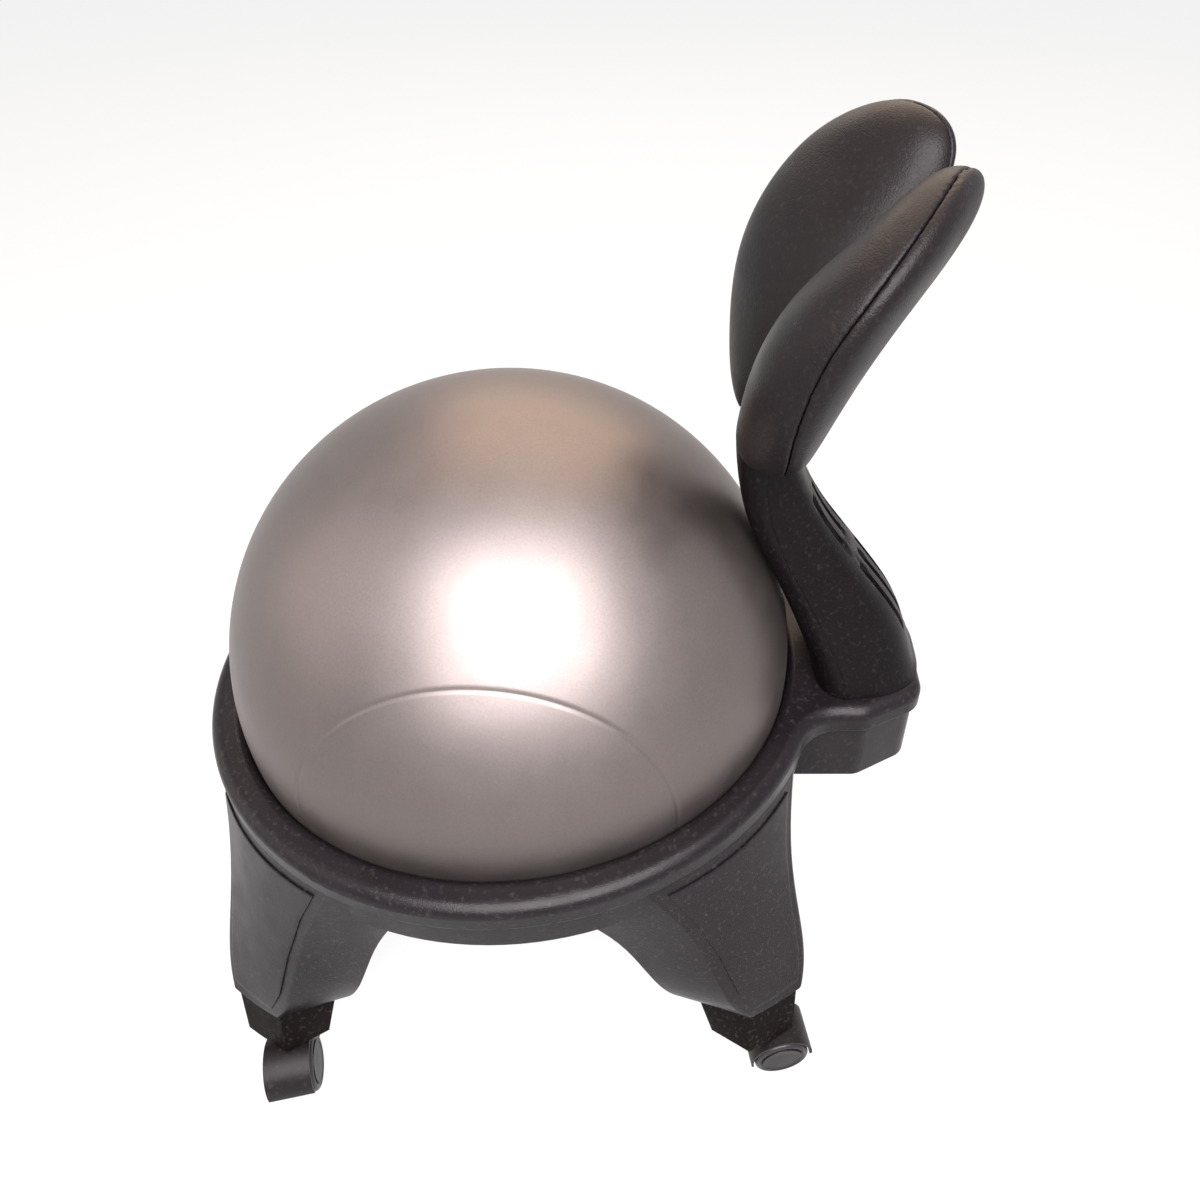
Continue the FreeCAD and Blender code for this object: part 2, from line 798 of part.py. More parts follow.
def superellipse(half_x, half_y, power, count, narrow=0.0):
    """Points of a rounded box outline; narrow draws its rear end in."""
    points = []
    for step in range(count):
        angle = 2 * math.pi * step / count
        cosine, sine = math.cos(angle), math.sin(angle)
        x_pos = half_x * math.copysign(abs(cosine) ** (2 / power), cosine)
        y_pos = half_y * math.copysign(abs(sine) ** (2 / power), sine)
        points.append(Vector(x_pos * (1 - narrow * y_pos / half_y), y_pos, 0))
    return points


def curve_sketch(body, height, points, closed=True):
    sketch = new_sketch(body, turn=Placement(Vector(0, 0, height), Rotation()))
    curve = Part.BSplineCurve()
    curve.interpolate(points, PeriodicFlag=closed)
    sketch.addGeometry(curve)
    if not closed:
        sketch.addGeometry(Part.LineSegment(points[-1], points[0]))
    return sketch


def post_sections(swell, first, last):
    """Centre line and half sizes of the post, level by level."""
    sections = []
    for share, front, depth, width in POST_LEVELS:
        half_depth = V["post_foot_depth"] * depth / 2
        sections.append((V["rim_top"] + V["post_height"] * share, V["post_front"] + front + half_depth,
                         half_depth, V["post_foot_width"] * width / 2))
    top = V["rim_top"] + V["post_height"]
    neck_front = V["post_front"] - 80.0 + math.tan(math.radians(V["neck_tilt"])) * V["post_height"] * 0.09
    sections.append((top, neck_front + V["post_neck_depth"] / 2 + 1, V["post_neck_depth"] / 2,
                     V["post_neck_width"] / 2))
    return [(height, middle, half_y + swell, half_x + swell)
            for height, middle, half_y, half_x in sections[first:last]]


def build_post_form(name, swell=0.0, first=0, last=None, lift=0.0):
    """The post's outer form, or a larger or smaller copy of some of its levels."""
    body = new_body(name)
    sketches = []
    for number, (height, middle, half_y, half_x) in enumerate(post_sections(swell, first, last)):
        narrow = 0.16 if number + first < 3 else 0.06
        points = [point + Vector(0, middle, 0) for point in superellipse(half_x, half_y, 3.2, 16, narrow)]
        if number == 0:
            height += lift
        if swell and height > V["rim_top"] + V["post_height"] - 1:
            height += 2.0
        sketches.append(curve_sketch(body, height, points))
    loft(body, sketches)
    return body


def neck_axis():
    """Where the neck bar leaves the post, and the direction it slides the backrest along."""
    tilt = math.radians(V["neck_tilt"])
    direction = Vector(0, math.sin(tilt), math.cos(tilt))
    start = Vector(0, float(RING_SHIFT) + V["post_front"] - 57.0, V["rim_top"] + V["post_height"] * 0.835)
    return start, direction


def bar_box(name, half_x, half_y, low, high):
    """A box along the neck bar's axis, from one distance to another."""
    start, direction = neck_axis()
    body = free_body(name)
    sketch = new_sketch(body)
    outline(sketch, [(half_x, -half_y), (half_x, half_y), (-half_x, half_y), (-half_x, -half_y)])
    pad(body, sketch, high - low)
    body.Placement = Placement(start + direction * float(low), Rotation(Vector(1, 0, 0), -V["neck_tilt"]))
    return body


def build_post():
    form = build_post_form("post_form")
    slope = 35.0
    middle = Vector(0, V["post_front"] + 31.0, V["rim_top"] + V["post_height"] * 0.475)
    lean = Rotation(Vector(1, 0, 0), slope - 90.0)
    sketch = new_sketch(form, turn=Placement(middle + lean.multVec(Vector(0, 0, 10)), lean))
    half = S["slot_width"] / 2
    for low, high in ((-84.0, -18.0), (4.0, 92.0)):
        left, right = -S["slot_pitch"] - half, -S["slot_pitch"] + half
        outline(sketch, [(right, low), (right, high), (left, high), (left, low)])
    cut = pocket(form, sketch, S["slot_recess"] + 10)
    in_row(form, [cut], "X_Axis", S["slot_pitch"] * 2, 3)
    for sx, sy in bolt_places():
        circle(new_sketch(form, lift=S["rim_top"]), S["bolt_radius"], sx, sy)
        pocket(form, form.Group[-1], S["bolt_depth"], reverse=True)
    seat = bar_box("bar_seat", S["bar_width"] / 2, S["bar_thickness"] / 2, -S["bar_buried"], S["bar_exposed"])
    bosses = new_body("post_bosses")
    for sx, sy in bolt_places():
        circle(new_sketch(bosses, lift=S["rim_top"]), S["bolt_radius"] * 2.2, sx, sy)
        pad(bosses, bosses.Group[-1], S["bolt_depth"] + 6)
    cavity = boolean("Cut", "post_cavity", build_post_form("post_inside", -V["shell_wall"], 0, 6, V["post_floor"]),
                     bosses)
    return boolean("Cut", "back_post", form, boolean("MultiFuse", "post_rooms", seat, [cavity]))


def build_neck_bar():
    """Flat bar that stands out of the post and carries the backrest, slotted for the clamp stud."""
    bar = bar_box("bar_blank", S["bar_width"] / 2, S["bar_thickness"] / 2, -S["bar_buried"], S["bar_exposed"])
    low = S["stud_height"] + S["bar_buried"]
    half = S["stud_radius"] + S["bar_clearance"]
    high = low + S["height_travel"]
    straight = outline(new_sketch(bar, "XZ_Plane"), [(half, low), (half, high), (-half, high), (-half, low)])
    slot = [straight] + [circle(new_sketch(bar, "XZ_Plane"), half, 0.0, level) for level in (low, high)]
    for sketch in slot:
        pocket(bar, sketch, 40).Midplane = True
    bar.Label = "neck_bar"
    return bar


def build_bolts():
    """Four hexagon bolts that come up through the platform into the post."""
    body = new_body("post_bolts")
    seat = bolt_seat() - S["washer_thickness"]
    for sx, sy in bolt_places():
        head = new_sketch(body, lift=seat)
        across = S["bolt_head_radius"]
        rise = across * (math.sqrt(3) / 2)
        outline(head, [(sx + across, sy), (sx + across / 2, sy + rise), (sx - across / 2, sy + rise),
                       (sx - across, sy), (sx - across / 2, sy - rise), (sx + across / 2, sy - rise)])
        pad(body, head, S["bolt_head_height"], reverse=True)
        circle(new_sketch(body, lift=seat), S["bolt_radius"] - 0.02, sx, sy)
        pad(body, body.Group[-1], S["rim_top"] - seat + S["bolt_depth"] - 2)
    return body


def build_washers():
    body = new_body("post_washers")
    for sx, sy in bolt_places():
        circle(new_sketch(body, lift=bolt_seat()), S["washer_radius"], sx, sy)
        circle(body.Group[-1], S["bolt_radius"] + 0.3, sx, sy)
        pad(body, body.Group[-1], S["washer_thickness"], reverse=True)
    return body


# Backrest: two lobes, each a loft of tilted half sections, split at the parting line
LOBE_LEVELS = [
    # height share, centre x share, centre y, half width share, half thickness, turn
    (0.000, 0.210, 225.0, 0.190, 17.0, 0.0),
    (0.035, 0.270, 225.0, 0.313, 23.5, 2.0),
    (0.090, 0.340, 226.5, 0.420, 28.0, 5.0),
    (0.210, 0.423, 233.0, 0.523, 33.0, 11.5),
    (0.420, 0.504, 247.5, 0.598, 38.0, 19.5),
    (0.640, 0.560, 271.0, 0.596, 38.0, 26.0),
    (0.835, 0.590, 301.0, 0.515, 29.0, 29.5),
    (0.945, 0.545, 317.5, 0.330, 20.0, 30.0),
    (0.988, 0.520, 323.5, 0.165, 11.0, 30.0),
    (1.000, 0.510, 325.5, 0.060, 4.0, 30.0),
]


def half_outline(half_x, depth, power, count):
    """One half of a rounded section, from its outer end round to its inner end."""
    points = []
    for step in range(count + 1):
        angle = math.pi * step / count
        cosine, sine = math.cos(angle), math.sin(angle)
        points.append(Vector(half_x * math.copysign(abs(cosine) ** (2 / power), cosine),
                             depth * abs(sine) ** (2 / power), 0))
    return points


def build_lobe(name, front):
    body = new_body(name)
    sketches = []
    for share, centre, middle, half, thick, turn in LOBE_LEVELS:
        depth = 2 * thick * (V["pad_front_share"] if front else 1 - V["pad_front_share"])
        shift = thick * (2 * V["pad_front_share"] - 1)
        spin = Rotation(Vector(0, 0, 1), -turn)
        points = []
        for point in half_outline(V["pad_half_width"] * half, depth, 2.3, 10):
            point = Vector(point.x, -point.y if front else point.y, 0) + Vector(0, shift, 0)
            points.append(spin.multVec(point) + Vector(V["pad_half_width"] * centre, middle, 0))
        sketches.append(curve_sketch(body, V["pad_bottom"] + V["pad_height"] * share, points, closed=False))
    loft(body, sketches)
    return body


def both_lobes(name, lobe):
    """The lobe and its mirror image, each trimmed at the middle plane and joined there."""
    reach = 2 * V["pad_half_width"]
    trim = doc.addObject("Part::Box", name + "_trim")
    trim.Length, trim.Width, trim.Height = reach, 2 * reach, 2 * V["pad_height"]
    trim.Placement = Placement(Vector(-reach, 0, V["pad_bottom"] - V["pad_height"] / 2), Rotation())
    half = boolean("Cut", name + "_half", lobe, trim)
    other = mirrored(name + "_other", half, Vector(1, 0, 0))
    return boolean("MultiFuse", name + "_pair", half, [other])


def knob_seat():
    """Centre of the flat that the clamp knob turns on, and the stud's direction out of the back."""
    start, direction = neck_axis()
    out = Vector(0, direction.z, -direction.y)
    return start + direction * V["stud_height"], out


def rod_along(name, low, high, radius):
    """A round rod on the clamp stud's line."""
    centre, out = knob_seat()
    body = free_body(name)
    circle(new_sketch(body), radius)
    pad(body, body.Group[-1], high - low)
    body.Placement = Placement(centre + out * float(low), Rotation(Vector(0, 0, 1), out))
    return body


def build_backrest():
    front = both_lobes("pad_front", build_lobe("lobe_front", True))
    rear = both_lobes("pad_rear", build_lobe("lobe_rear", False))
    gap = S["bar_clearance"]
    slot = bar_box("bar_room", S["bar_width"] / 2 + gap, S["bar_thickness"] / 2 + gap,
                   Size(-20.0, "-20"), S["bar_exposed"] + 4)
    post_room = build_post_form("post_room", V["pad_clearance"], 3)
    stud_room = rod_along("stud_room", Size(-14.0, "-14"), Size(60.0, "60"), S["stud_radius"])
    knob_room = rod_along("knob_room", S["knob_offset"], Size(90.0, "90"), S["knob_radius"] + 3)
    tools = boolean("MultiFuse", "pad_rooms", slot, [post_room, stud_room, knob_room])
    cushion = boolean("Cut", "backrest_cushion", front, tools)
    shell = boolean("Cut", "backrest_shell", rear, tools)
    return cushion, shell


def build_clamp():
    """Stud through the bar's slot, washer, and the hand knob on the back."""
    stud = rod_along("clamp_stud", Size(-14.0, "-14"), S["knob_offset"] + 9,
                     S["stud_radius"] - 0.02)
    centre, out = knob_seat()
    knob = free_body("clamp_knob")
    radius = S["knob_radius"]
    sketch = new_sketch(knob, "XZ_Plane")
    outline(sketch, [
        (S["stud_radius"], 0.0),
        (radius * 0.62, 0.0),
        (radius, 4.0),
        (radius, S["knob_height"] - 3),
        (radius - 3, S["knob_height"], 3.0, 1),
        (0.0, S["knob_height"] + 1),
        (0.0, 9.2),
        (S["stud_radius"], 9.2),
    ])
    revolve(knob, sketch)
    flute = circle(new_sketch(knob), 3.4, radius + 1.6, 0.0)
    polar(knob, [pocket(knob, flute, S["knob_height"] + 2, reverse=True)], 8)
    knob.Placement = Placement(centre + out * V["knob_offset"], Rotation(Vector(0, 0, 1), out))
    return stud, knob


# Ball
def build_ball():
    body = new_body("exercise_ball")
    radius, wall = S["ball_radius"], S["ball_wall"]
    inner = radius - wall
    hole = S["plug_radius"]
    centre = S["ball_centre"]
    outline(new_sketch(body, "XZ_Plane"), [
        (hole, centre - root(radius * radius - hole * hole)),
        (radius, centre, radius, -1),
        (0.0, centre + radius, radius, -1),
        (0.0, centre + inner),
        (inner, centre, inner, 1),
        (hole, centre - root(inner * inner - hole * hole), inner, 1),
    ])
    revolve(body, body.Group[-1])
    return body


def build_plug():
    """Stopper in the ball's lowest point, reached through the bowl's hole."""
    body = new_body("ball_plug")
    bottom = S["ball_centre"] - S["ball_radius"]
    cap = S["plug_cap_radius"]
    outline(new_sketch(body, "XZ_Plane"), [
        (0.0, bottom - S["plug_cap_depth"]),
        (cap - 1, bottom - S["plug_cap_depth"]),
        (cap, bottom),
        (S["plug_radius"] - 0.02, bottom),
        (S["plug_radius"] - 0.02, bottom + 14),
        (0.0, bottom + 16),
    ])
    revolve(body, body.Group[-1])
    return body


# Build everything
nodes = {}
nodes["base_shell"] = build_base_shell()
master_extension = build_extension("extension_master")
nodes["back_post"] = build_post()
nodes["neck_bar"] = build_neck_bar()
nodes["post_bolts"] = build_bolts()
nodes["post_washers"] = build_washers()
cushion, shell = build_backrest()
nodes["backrest_cushion"] = cushion
nodes["backrest_shell"] = shell
stud, knob = build_clamp()
nodes["clamp_stud"] = stud
nodes["clamp_knob"] = knob
nodes["exercise_ball"] = build_ball()
nodes["ball_plug"] = build_plug()
for corner in CORNERS:
    nodes["caster_socket_" + corner] = placed(build_socket("caster_socket_" + corner), corner)
    nodes["caster_stem_" + corner] = placed(build_stem("caster_stem_" + corner), corner)
    nodes["caster_housing_" + corner] = placed(build_housing("caster_housing_" + corner), corner)
    nodes["caster_axle_" + corner] = placed(build_axle("caster_axle_" + corner), corner)
    for letter, side in (("a", 1), ("b", -1)):
        name = "caster_wheel_%s_%s" % (corner, letter)
        wheel = build_wheel(name, side)
        wheel.Placement = wheel_place(corner)
        nodes[name] = wheel
doc.recompute()
for corner, (side, end) in CORNERS.items():
    name = "leg_extension_" + corner
    nodes[name] = place_corner(name, master_extension, side, end)
doc.recompute()

failed = [item.Name for item in doc.Objects if "Invalid" in item.State or "Error" in item.State]
if failed:
    raise RuntimeError("not built: " + ", ".join(failed))
for name, item in nodes.items():
    shape = item.Shape
    if shape.isNull() or not shape.isValid() or not shape.Solids:
        raise RuntimeError("%s has no valid solid" % name)
    shape.exportStep("parts/%s.step" % name)
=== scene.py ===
"""Balance ball chair: a satin silver ball in a moulded base on casters, with a post and a two-lobed backrest.

The chair faces -Y, +X is the side nearer the camera, +Z is up and lengths are metres. The rigid mouldings are
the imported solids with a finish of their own. The ball and the padded backrest are modelled here.
"""

import logging
import math
from collections.abc import Callable
from dataclasses import dataclass
from enum import Enum

import bpy
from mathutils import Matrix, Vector


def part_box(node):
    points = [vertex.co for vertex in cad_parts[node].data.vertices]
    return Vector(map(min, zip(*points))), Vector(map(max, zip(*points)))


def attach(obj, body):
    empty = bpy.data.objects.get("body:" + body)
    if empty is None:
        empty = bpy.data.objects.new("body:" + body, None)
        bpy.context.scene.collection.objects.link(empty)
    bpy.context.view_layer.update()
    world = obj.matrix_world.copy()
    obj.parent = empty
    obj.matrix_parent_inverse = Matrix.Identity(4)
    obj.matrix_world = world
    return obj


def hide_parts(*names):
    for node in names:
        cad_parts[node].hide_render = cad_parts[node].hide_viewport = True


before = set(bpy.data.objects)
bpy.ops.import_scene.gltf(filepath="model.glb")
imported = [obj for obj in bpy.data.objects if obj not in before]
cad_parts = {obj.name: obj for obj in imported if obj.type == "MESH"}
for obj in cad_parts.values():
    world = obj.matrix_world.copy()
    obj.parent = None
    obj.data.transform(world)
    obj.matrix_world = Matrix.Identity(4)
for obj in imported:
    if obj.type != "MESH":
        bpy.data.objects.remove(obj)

LOG = logging.getLogger("ball_chair")

DUST_COLOUR = (0.42, 0.36, 0.32)
DUST_SIZE = 0.004
DUST_FROM = 0.56
DUST_FULL = 0.78
SCUFF_SIZE = 0.03
NOISE_LOW = 0.3
NOISE_HIGH = 0.7
PEBBLE_SMOOTHNESS = 0.6
DRAWN_STRETCH = (1.0, 1.0, 0.05)
MERGE_DISTANCE = 0.00002


class Grain(Enum):
    """Surface structures that a moulded piece can carry."""

    SMOOTH = "smooth"
    FINE = "fine eroded texture"
    PEBBLE = "leather-like pebbles"
    TURNED = "drawn metal"


@dataclass(frozen=True)
class Finish:
    """A procedural surface: colour, gloss and a grain that reads the piece's own coordinates."""

    name: str
    colour: tuple[float, float, float]
    roughness: float
    metallic: float = 0.0
    specular: float = 0.5
    grain: Grain = Grain.SMOOTH
    grain_size: float = 0.001
    grain_height: float = 0.0001
    mottle: float = 0.0
    mottle_size: float = 0.05
    scuff: float = 0.0
    dust: float = 0.0

    def material(self) -> bpy.types.Material:
        """Builds the node material.

        Returns:
            The finished material.
        """
        material = bpy.data.materials.new(self.name)
        material.use_nodes = True
        tree = material.node_tree
        shader = tree.nodes["Principled BSDF"]
        shader.inputs["Base Color"].default_value = (*self.colour, 1.0)
        shader.inputs["Roughness"].default_value = self.roughness
        shader.inputs["Metallic"].default_value = self.metallic
        shader.inputs["Specular IOR Level"].default_value = self.specular
        place = tree.nodes.new("ShaderNodeTexCoord")
        if self.mottle or self.dust:
            self._add_colour(tree, place, shader)
        if self.scuff:
            self._add_scuffs(tree, place, shader)
        if self.grain is not Grain.SMOOTH:
            self._add_grain(tree, place, shader)
        return material

    def _noise(
        self, tree: bpy.types.NodeTree, place: bpy.types.Node, size: float, detail: float
    ) -> bpy.types.Node:
        """Adds a noise of a given feature size.

        Args:
            tree: The material's nodes.
            place: The texture coordinates.
            size: Feature size in metres.
            detail: Number of finer octaves.

        Returns:
            The noise node.
        """
        noise = tree.nodes.new("ShaderNodeTexNoise")
        noise.inputs["Scale"].default_value = 1.0 / size
        noise.inputs["Detail"].default_value = detail
        tree.links.new(place.outputs["Object"], noise.inputs["Vector"])
        return noise

    def _add_colour(
        self, tree: bpy.types.NodeTree, place: bpy.types.Node, shader: bpy.types.Node
    ) -> None:
        """Lets the colour drift over the piece and lays a little dust over it in streaks.

        Args:
            tree: The material's nodes.
            place: The texture coordinates.
            shader: The surface shader.
        """
        noise = self._noise(tree, place, self.mottle_size, 4.0)
        ramp = tree.nodes.new("ShaderNodeValToRGB")
        ramp.color_ramp.elements[0].position = NOISE_LOW
        ramp.color_ramp.elements[1].position = NOISE_HIGH
        for element, share in zip(ramp.color_ramp.elements, (1 - self.mottle, 1 + self.mottle)):
            element.color = (*(channel * share for channel in self.colour), 1.0)
        tree.links.new(noise.outputs["Fac"], ramp.inputs["Fac"])
        colour = ramp.outputs["Color"]
        if self.dust:
            streaks = self._noise(tree, place, DUST_SIZE, 9.0)
            amount = tree.nodes.new("ShaderNodeMapRange")
            amount.inputs["From Min"].default_value = DUST_FROM
            amount.inputs["From Max"].default_value = DUST_FULL
            amount.inputs["To Max"].default_value = self.dust
            tree.links.new(streaks.outputs["Fac"], amount.inputs["Value"])
            mix = tree.nodes.new("ShaderNodeMix")
            mix.data_type = "RGBA"
            mix.inputs[7].default_value = (*DUST_COLOUR, 1.0)
            tree.links.new(amount.outputs["Result"], mix.inputs[0])
            tree.links.new(colour, mix.inputs[6])
            colour = mix.outputs[2]
        tree.links.new(colour, shader.inputs["Base Color"])

    def _add_scuffs(
        self, tree: bpy.types.NodeTree, place: bpy.types.Node, shader: bpy.types.Node
    ) -> None:
        """Makes the gloss uneven, as handled plastic is.

        Args:
            tree: The material's nodes.
            place: The texture coordinates.
            shader: The surface shader.
        """
        noise = self._noise(tree, place, SCUFF_SIZE, 8.0)
        spread = tree.nodes.new("ShaderNodeMapRange")
        spread.inputs["From Min"].default_value = NOISE_LOW
        spread.inputs["From Max"].default_value = NOISE_HIGH
        spread.inputs["To Min"].default_value = self.roughness - self.scuff
        spread.inputs["To Max"].default_value = self.roughness + self.scuff
        tree.links.new(noise.outputs["Fac"], spread.inputs["Value"])
        tree.links.new(spread.outputs["Result"], shader.inputs["Roughness"])

    def _add_grain(
        self, tree: bpy.types.NodeTree, place: bpy.types.Node, shader: bpy.types.Node
    ) -> None:
        """Adds the grain as relief.

        Args:
            tree: The material's nodes.
            place: The texture coordinates.
            shader: The surface shader.
        """
        bump = tree.nodes.new("ShaderNodeBump")
        bump.inputs["Distance"].default_value = self.grain_height
        bump.inputs["Strength"].default_value = 1.0
        if self.grain is Grain.PEBBLE:
            cells = tree.nodes.new("ShaderNodeTexVoronoi")
            cells.feature = "SMOOTH_F1"
            cells.inputs["Scale"].default_value = 1.0 / self.grain_size
            cells.inputs["Smoothness"].default_value = PEBBLE_SMOOTHNESS
            tree.links.new(place.outputs["Object"], cells.inputs["Vector"])
            bump.invert = True
            height = cells.outputs["Distance"]
        else:
            noise = self._noise(tree, place, self.grain_size, 3.0)
            if self.grain is Grain.TURNED:
                stretch = tree.nodes.new("ShaderNodeMapping")
                stretch.inputs["Scale"].default_value = DRAWN_STRETCH
                tree.links.new(place.outputs["Object"], stretch.inputs["Vector"])
                tree.links.new(stretch.outputs["Vector"], noise.inputs["Vector"])
            height = noise.outputs["Fac"]
        tree.links.new(height, bump.inputs["Height"])
        tree.links.new(bump.outputs["Normal"], shader.inputs["Normal"])


BASE_PLASTIC = Finish(
    "moulded base plastic", (0.0060, 0.0045, 0.0058), 0.33, specular=0.17, grain=Grain.PEBBLE,
    grain_size=0.0011, grain_height=0.00013, mottle=0.14, scuff=0.05, dust=0.04,
)
POST_PLASTIC = Finish(
    "moulded post plastic", (0.0030, 0.0022, 0.0028), 0.40, specular=0.09, grain=Grain.PEBBLE,
    grain_size=0.0010, grain_height=0.00012, mottle=0.10, scuff=0.05, dust=0.02,
)
PAD_SKIN = Finish(
    "foam pad skin", (0.0050, 0.0036, 0.0042), 0.42, specular=0.15, grain=Grain.PEBBLE,
    grain_size=0.0014, grain_height=0.00020, mottle=0.10, scuff=0.05, dust=0.02,
)
FOOT_PLASTIC = Finish(
    "leg extension plastic", (0.0024, 0.0013, 0.0014), 0.55, specular=0.06, grain=Grain.FINE,
    grain_size=0.0009, grain_height=0.00006, mottle=0.16, scuff=0.04, dust=0.05,
)
WHEEL_PLASTIC = Finish(
    "wheel plastic", (0.0115, 0.0092, 0.0115), 0.36, specular=0.34, grain=Grain.FINE, grain_size=0.0007,
    grain_height=0.00003, scuff=0.06, dust=0.04,
)
HUB_PLASTIC = Finish(
    "hub cap plastic", (0.0075, 0.0055, 0.0058), 0.42, specular=0.22, grain=Grain.FINE,
    grain_size=0.0006, grain_height=0.00003, scuff=0.05, dust=0.04,
)
HOUSING_PLASTIC = Finish(
    "caster housing plastic", (0.0060, 0.0045, 0.0050), 0.42, specular=0.18, grain=Grain.FINE,
    grain_size=0.0007, grain_height=0.00004, scuff=0.04, dust=0.04,
)
SOCKET_PLASTIC = Finish("stem socket plastic", (0.03, 0.03, 0.03), 0.5, mottle=0.05)
KNOB_PLASTIC = Finish(
    "knob plastic", (0.02, 0.02, 0.02), 0.4, grain=Grain.FINE, grain_size=0.0006,
    grain_height=0.00004, scuff=0.05,
)
PLUG_PLASTIC = Finish("plug plastic", (0.7, 0.7, 0.67), 0.4, mottle=0.03)
ZINC = Finish(
    "zinc plated steel", (0.62, 0.62, 0.60), 0.34, metallic=1.0, grain=Grain.TURNED,
    grain_size=0.0006, grain_height=0.00001, mottle=0.06, mottle_size=0.01,
)
BLACK_STEEL = Finish(
    "powder coated steel", (0.03, 0.03, 0.03), 0.5, grain=Grain.FINE, grain_size=0.0008,
    grain_height=0.00005, mottle=0.05,
)
BALL_SKIN = Finish(
    "pearl silver ball skin", (0.153, 0.131, 0.127), 0.45, metallic=0.95, grain=Grain.FINE,
    grain_size=0.0014, grain_height=0.00004, mottle=0.06, mottle_size=0.0018, scuff=0.03,
)


# Work with operators
def clear_selection() -> None:
    """Leaves edit mode and deselects everything."""
    if bpy.context.mode != "OBJECT":
        bpy.ops.object.mode_set(mode="OBJECT")
    bpy.ops.object.select_all(action="DESELECT")


def activate(*pieces: bpy.types.Object) -> None:
    """Selects these objects and makes the first one active.

    Args:
        pieces: The objects to work on.
    """
    clear_selection()
    for piece in pieces:
        piece.select_set(True)
    bpy.context.view_layer.objects.active = pieces[0]


def named(name: str) -> bpy.types.Object:
    """Names the active object and its mesh.

    Args:
        name: The new name.

    Returns:
        The active object.
    """
    piece = bpy.context.active_object
    piece.name = name
    piece.data.name = name
    return piece


def settle(piece: bpy.types.Object) -> None:
    """Moves an object's place into its mesh.

    Args:
        piece: The object to settle.
    """
    activate(piece)
    bpy.ops.object.transform_apply(location=True, rotation=True, scale=True)


def pick(piece: bpy.types.Object, kind: str, wanted: Callable[[Vector, Vector], bool]) -> None:
    """Selects vertices or faces by place and normal, from edit mode back into edit mode.

    Args:
        piece: The object in edit mode.
        kind: VERT or FACE.
        wanted: Takes a place and a normal and tells whether the element is selected.
    """
    bpy.ops.mesh.select_mode(type=kind)
    bpy.ops.mesh.select_all(action="DESELECT")
    bpy.ops.object.mode_set(mode="OBJECT")
    if kind == "VERT":
        for vertex in piece.data.vertices:
            vertex.select = wanted(vertex.co, vertex.normal)
    else:
        for polygon in piece.data.polygons:
            polygon.select = wanted(polygon.center, polygon.normal)
    bpy.ops.object.mode_set(mode="EDIT")


def modify(piece: bpy.types.Object, kind: str, **settings: object) -> None:
    """Applies one modifier to the active object.

    Args:
        piece: The active object.
        kind: The modifier's kind.
        settings: Its values by name.
    """
    bpy.ops.object.modifier_add(type=kind)
    modifier = piece.modifiers[-1]
    for name, value in settings.items():
        setattr(modifier, name, value)
    bpy.ops.object.modifier_apply(modifier=modifier.name)


def finish_piece(piece: bpy.types.Object, finish: Finish, body: str) -> bpy.types.Object:
    """Gives a modelled piece its finish and joins it to a body of the frame.

    Args:
        piece: The modelled object.
        finish: Its surface.
        body: The body it moves with.

    Returns:
        The same object.
    """
    settle(piece)
    piece.data.materials.clear()
    piece.data.materials.append(material_of(finish))
    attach(piece, body)
    LOG.info("%s rides on %s: %d faces", piece.name, body, len(piece.data.polygons))
    return piece


MATERIALS: dict[str, bpy.types.Material] = {}


def material_of(finish: Finish) -> bpy.types.Material:
    """Builds each finish once.

    Args:
        finish: The surface wanted.

    Returns:
        Its material.
    """
    if finish.name not in MATERIALS:
        MATERIALS[finish.name] = finish.material()
    return MATERIALS[finish.name]


def smooth_copy(node: str, name: str) -> bpy.types.Object:
    """Copies a solid of the frame as a clean mesh.

    Args:
        node: The solid's name.
        name: The copy's name.

    Returns:
        The copy, with its doubles merged.
    """
    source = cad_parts[node]
    piece = source.copy()
    piece.data = source.data.copy()
    piece.parent = None
    for key in list(piece.keys()):
        del piece[key]
    bpy.context.scene.collection.objects.link(piece)
    piece.name = name
    piece.data.name = name
    activate(piece)
    bpy.ops.object.mode_set(mode="EDIT")
    bpy.ops.mesh.select_all(action="SELECT")
    bpy.ops.mesh.remove_doubles(threshold=MERGE_DISTANCE)
    bpy.ops.object.mode_set(mode="OBJECT")
    return piece


@dataclass(frozen=True)
class Assembly:
    """Solids of the frame that share a finish plan."""

    def finishes(self) -> dict[str, Finish]:
        """Tells which finish each solid has.

        Returns:
            Finishes by the beginning of the solid's name.
        """
        return {}

    def dress(self) -> None:
        """Gives the solids their finishes."""
        for name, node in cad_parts.items():
            for prefix, finish in self.finishes().items():
                if name.startswith(prefix):
                    node.data.materials.clear()
                    node.data.materials.append(material_of(finish))
                    LOG.info("%s has %s", name, finish.name)

    def build(self) -> None:
        """Models what the solids leave out. A plain assembly adds nothing."""


@dataclass(frozen=True)
class LegLevel:
    """Outer face of a leg at one height, seen from above."""

    height: float
    reach: float
    half_width: float
    turn: float
    bow: float


